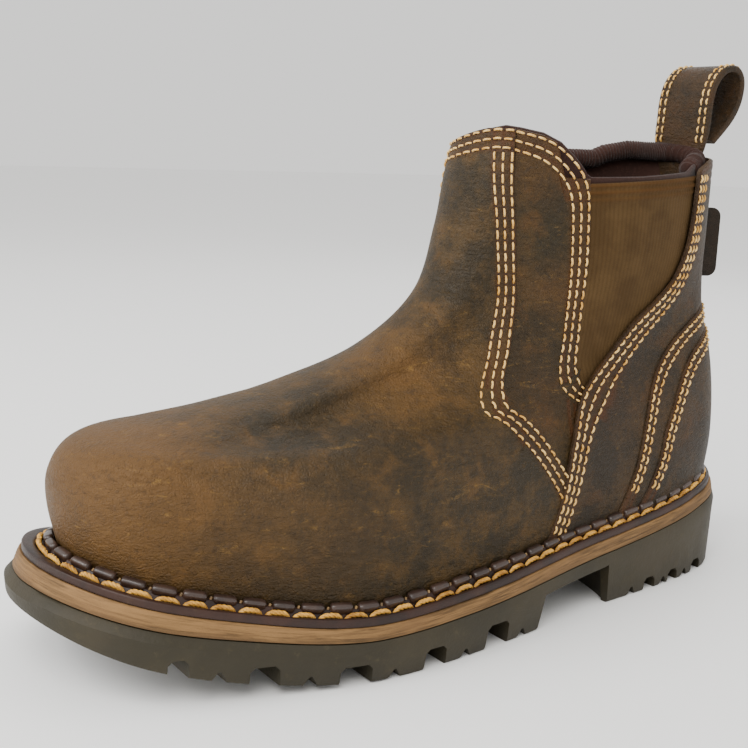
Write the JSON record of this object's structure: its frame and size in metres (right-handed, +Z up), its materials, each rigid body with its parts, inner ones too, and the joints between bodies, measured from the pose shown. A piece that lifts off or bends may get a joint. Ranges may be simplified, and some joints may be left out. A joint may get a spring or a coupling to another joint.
{
  "type": "boot",
  "caption": "Ankle-high pull-on work boot in waxed brown leather, with elastic side gores, a pull loop at the back, a stitched welt, a tan midsole and a lugged rubber sole. Left foot.",
  "frame": {"origin": "On the floor under the middle of the heel, on the heel's tread", "axes": "+X to the toe, +Y to the wearer's left (the outer side of this left boot), +Z up"},
  "size_m": [0.3219, 0.1218, 0.2194],
  "materials": {
    "rubber": "matt olive-grey rubber",
    "tan_layer": "matt tan with long streaks",
    "welt_leather": "glossy dark red-brown",
    "insole_fabric": "matt dark fabric",
    "leather": "waxed pull-up leather, satin, mottled",
    "back_leather": "waxed pull-up leather, satin, mottled",
    "elastic": "ribbed elastic, matt",
    "loop_leather": "waxed leather, satin",
    "tab_leather": "satin leather"
  },
  "bodies": {
    "root": {"outsole": "rubber", "midsole": "tan_layer", "welt": "welt_leather", "insole": "insole_fabric", "upper": "leather", "back_quarter": "back_leather", "heel_band": "back_leather", "heel_counter": "back_leather", "gore_outer_side": "elastic", "gore_inner_side": "elastic", "pull_loop": "loop_leather", "back_tab": "tab_leather"}
  },
  "joints": []
}
